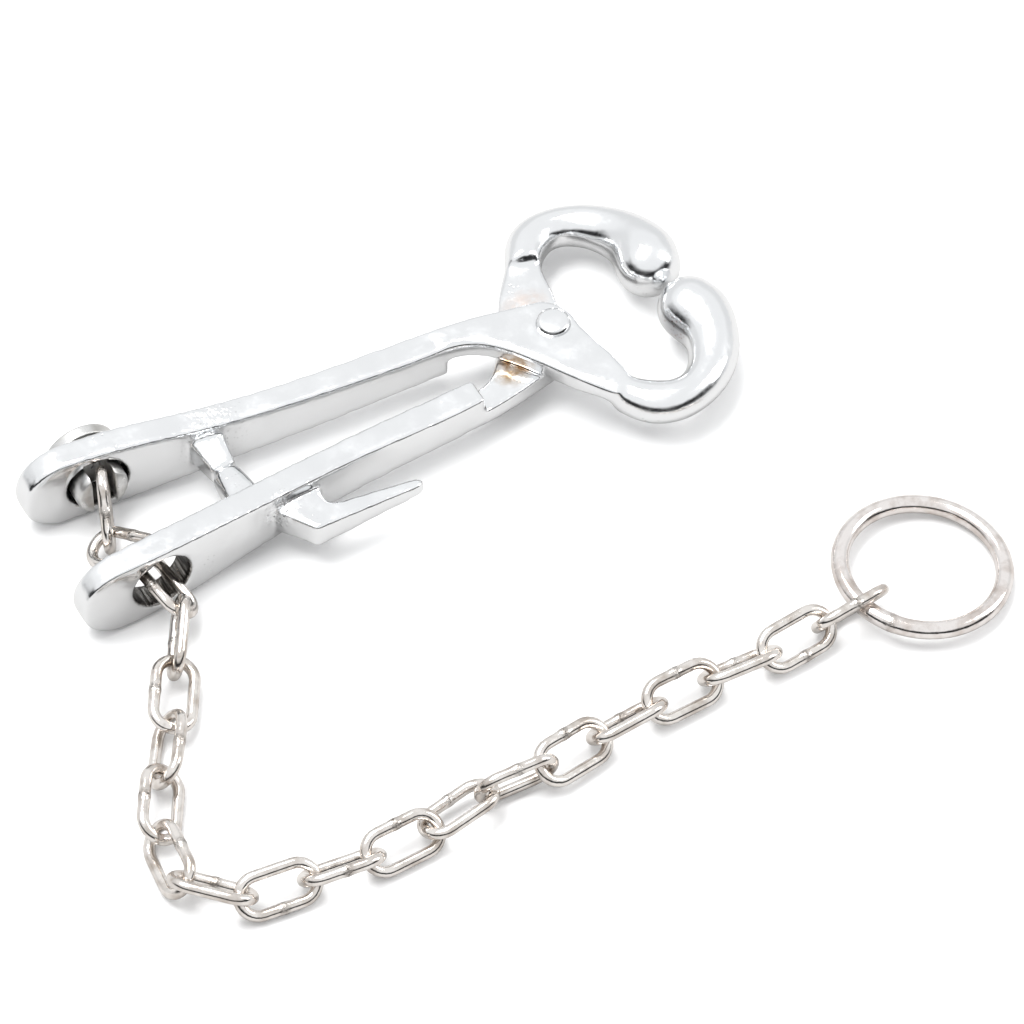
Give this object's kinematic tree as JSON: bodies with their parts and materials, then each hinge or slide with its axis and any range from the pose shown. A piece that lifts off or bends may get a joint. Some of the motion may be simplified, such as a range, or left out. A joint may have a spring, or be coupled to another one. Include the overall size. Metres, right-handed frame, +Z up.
{
  "type": "bull nose lead",
  "caption": "Bright cast-steel nose tongs with two lapped levers on a rivet, ball-ended jaws, a side lock hook, and a closing chain ending in a round lead ring.",
  "frame": {"origin": "on the ground plane under the pivot rivet's axis", "axes": "+X from the handle ends towards the ball-ended jaws, +Y towards the handle that carries the chain stop, +Z up"},
  "size_m": [0.2531, 0.1817, 0.0247],
  "materials": {
    "plated_cast_steel": "bright plating over an as-cast skin",
    "turned_steel": "turned and dull plated",
    "chain_steel": "bright plated wire with weld marks",
    "ring_steel": "bright plated wire"
  },
  "bodies": {
    "rear_tong": {"rear_lever": "plated_cast_steel", "pivot_rivet": "plated_cast_steel"},
    "front_tong": {"front_lever": "plated_cast_steel"},
    "stop": {"chain_stop": "turned_steel"},
    "link_01": {"link_01": "chain_steel"},
    "link_02": {"link_02": "chain_steel"},
    "link_03": {"link_03": "chain_steel"},
    "link_04": {"link_04": "chain_steel"},
    "link_05": {"link_05": "chain_steel"},
    "link_06": {"link_06": "chain_steel"},
    "link_07": {"link_07": "chain_steel"},
    "link_08": {"link_08": "chain_steel"},
    "link_09": {"link_09": "chain_steel"},
    "link_10": {"link_10": "chain_steel"},
    "link_11": {"link_11": "chain_steel"},
    "link_12": {"link_12": "chain_steel"},
    "link_13": {"link_13": "chain_steel"},
    "link_14": {"link_14": "chain_steel"},
    "link_15": {"link_15": "chain_steel"},
    "link_16": {"link_16": "chain_steel"},
    "link_17": {"link_17": "chain_steel"},
    "link_18": {"link_18": "chain_steel"},
    "link_19": {"link_19": "chain_steel"},
    "link_20": {"link_20": "chain_steel"},
    "ring": {"lead_ring": "ring_steel"}
  },
  "joints": [
    {"name": "jaw_hinge", "type": "hinge", "parent": "rear_tong", "child": "front_tong", "pos_m": [0, 0, 0.012], "axis": [0, 0, 1], "range_deg": [0, 24]},
    {"name": "stop_slide", "type": "slide", "parent": "rear_tong", "child": "stop", "axis": [0, 1, 0], "range_m": [0, 0.012]},
    {"name": "chain_in_hole", "type": "slide", "parent": "front_tong", "child": "link_03", "axis": [0, 1, 0], "range_m": [0, 0.0012]},
    {"name": "link_02_swing", "type": "hinge", "parent": "link_03", "child": "link_02", "pos_m": [-0.1356, -0.0131, 0.01341], "axis": [0.7238, 0.3195, -0.6116], "range_deg": [-2, 1]},
    {"name": "link_01_swing", "type": "hinge", "parent": "link_02", "child": "link_01", "pos_m": [-0.1398, 0.00225, 0.00641], "axis": [0.8183, 0.5301, 0.2222], "range_deg": [-2.5, 3]},
    {"name": "link_04_swing", "type": "hinge", "parent": "link_03", "child": "link_04", "pos_m": [-0.13274, -0.03392, 0.0093], "axis": [0.7238, 0.3195, -0.6116], "range_deg": [-8, 8]},
    {"name": "link_05_swing", "type": "hinge", "parent": "link_04", "child": "link_05", "pos_m": [-0.14322, -0.04826, 0.00613], "axis": [0.1195, -0.3354, 0.9344], "range_deg": [-14, 14]},
    {"name": "link_06_swing", "type": "hinge", "parent": "link_05", "child": "link_06", "pos_m": [-0.15248, -0.06342, 0.00571], "axis": [-0.818, 0.4854, 0.3087], "range_deg": [-18, 18]},
    {"name": "link_07_swing", "type": "hinge", "parent": "link_06", "child": "link_07", "pos_m": [-0.16233, -0.07819, 0.0058], "axis": [-0.536, 0.3548, -0.766], "range_deg": [-22, 22]},
    {"name": "link_08_swing", "type": "hinge", "parent": "link_07", "child": "link_08", "pos_m": [-0.1711, -0.09357, 0.00525], "axis": [0.6747, -0.4072, -0.6156], "range_deg": [-20, 18]},
    {"name": "link_09_swing", "type": "hinge", "parent": "link_08", "child": "link_09", "pos_m": [-0.17214, -0.11099, 0.0076], "axis": [0.6736, -0.0044, 0.7391], "range_deg": [-20, 12]},
    {"name": "link_10_swing", "type": "hinge", "parent": "link_09", "child": "link_10", "pos_m": [-0.15849, -0.12206, 0.00617], "axis": [-0.4453, -0.5991, 0.6655], "range_deg": [-22, 22]},
    {"name": "link_11_swing", "type": "hinge", "parent": "link_10", "child": "link_11", "pos_m": [-0.14083, -0.12391, 0.00542], "axis": [-0.0814, -0.7147, -0.6947], "range_deg": [-22, 22]},
    {"name": "link_12_swing", "type": "hinge", "parent": "link_11", "child": "link_12", "pos_m": [-0.12318, -0.12571, 0.00522], "axis": [0.0814, 0.7147, -0.6947], "range_deg": [-22, 22]},
    {"name": "link_13_swing", "type": "hinge", "parent": "link_12", "child": "link_13", "pos_m": [-0.10547, -0.12478, 0.00524], "axis": [-0.0275, 0.7875, 0.6157], "range_deg": [-14, 14]},
    {"name": "link_14_swing", "type": "hinge", "parent": "link_13", "child": "link_14", "pos_m": [-0.08794, -0.12256, 0.00686], "axis": [0.1112, -0.9209, 0.3737], "range_deg": [-14, 14]},
    {"name": "link_15_swing", "type": "hinge", "parent": "link_14", "child": "link_15", "pos_m": [-0.07021, -0.12382, 0.00694], "axis": [-0.0348, -0.1721, 0.9845], "range_deg": [-22, 22]},
    {"name": "link_16_swing", "type": "hinge", "parent": "link_15", "child": "link_16", "pos_m": [-0.05274, -0.12096, 0.00547], "axis": [-0.0911, 0.8047, 0.5867], "range_deg": [-22, 22]},
    {"name": "link_17_swing", "type": "hinge", "parent": "link_16", "child": "link_17", "pos_m": [-0.03503, -0.11988, 0.00608], "axis": [-0.005, 0.6953, -0.7187], "range_deg": [-22, 22]},
    {"name": "link_18_swing", "type": "hinge", "parent": "link_17", "child": "link_18", "pos_m": [-0.01731, -0.11911, 0.00549], "axis": [0.0183, -0.788, -0.6155], "range_deg": [-22, 22]},
    {"name": "link_19_swing", "type": "hinge", "parent": "link_18", "child": "link_19", "pos_m": [0.0004, -0.12013, 0.00594], "axis": [-0.0798, -0.6908, 0.7187], "range_deg": [-22, 22]},
    {"name": "link_20_swing", "type": "hinge", "parent": "link_19", "child": "link_20", "pos_m": [0.01809, -0.11871, 0.00635], "axis": [-0.0832, 0.7839, 0.6153], "range_deg": [-22, 22]},
    {"name": "ring_swing", "type": "hinge", "parent": "link_20", "child": "ring", "pos_m": [0.0283, -0.11783, 0.00645], "axis": [0.1564, -0.9877, 0], "range_deg": [-20, 95]}
  ]
}
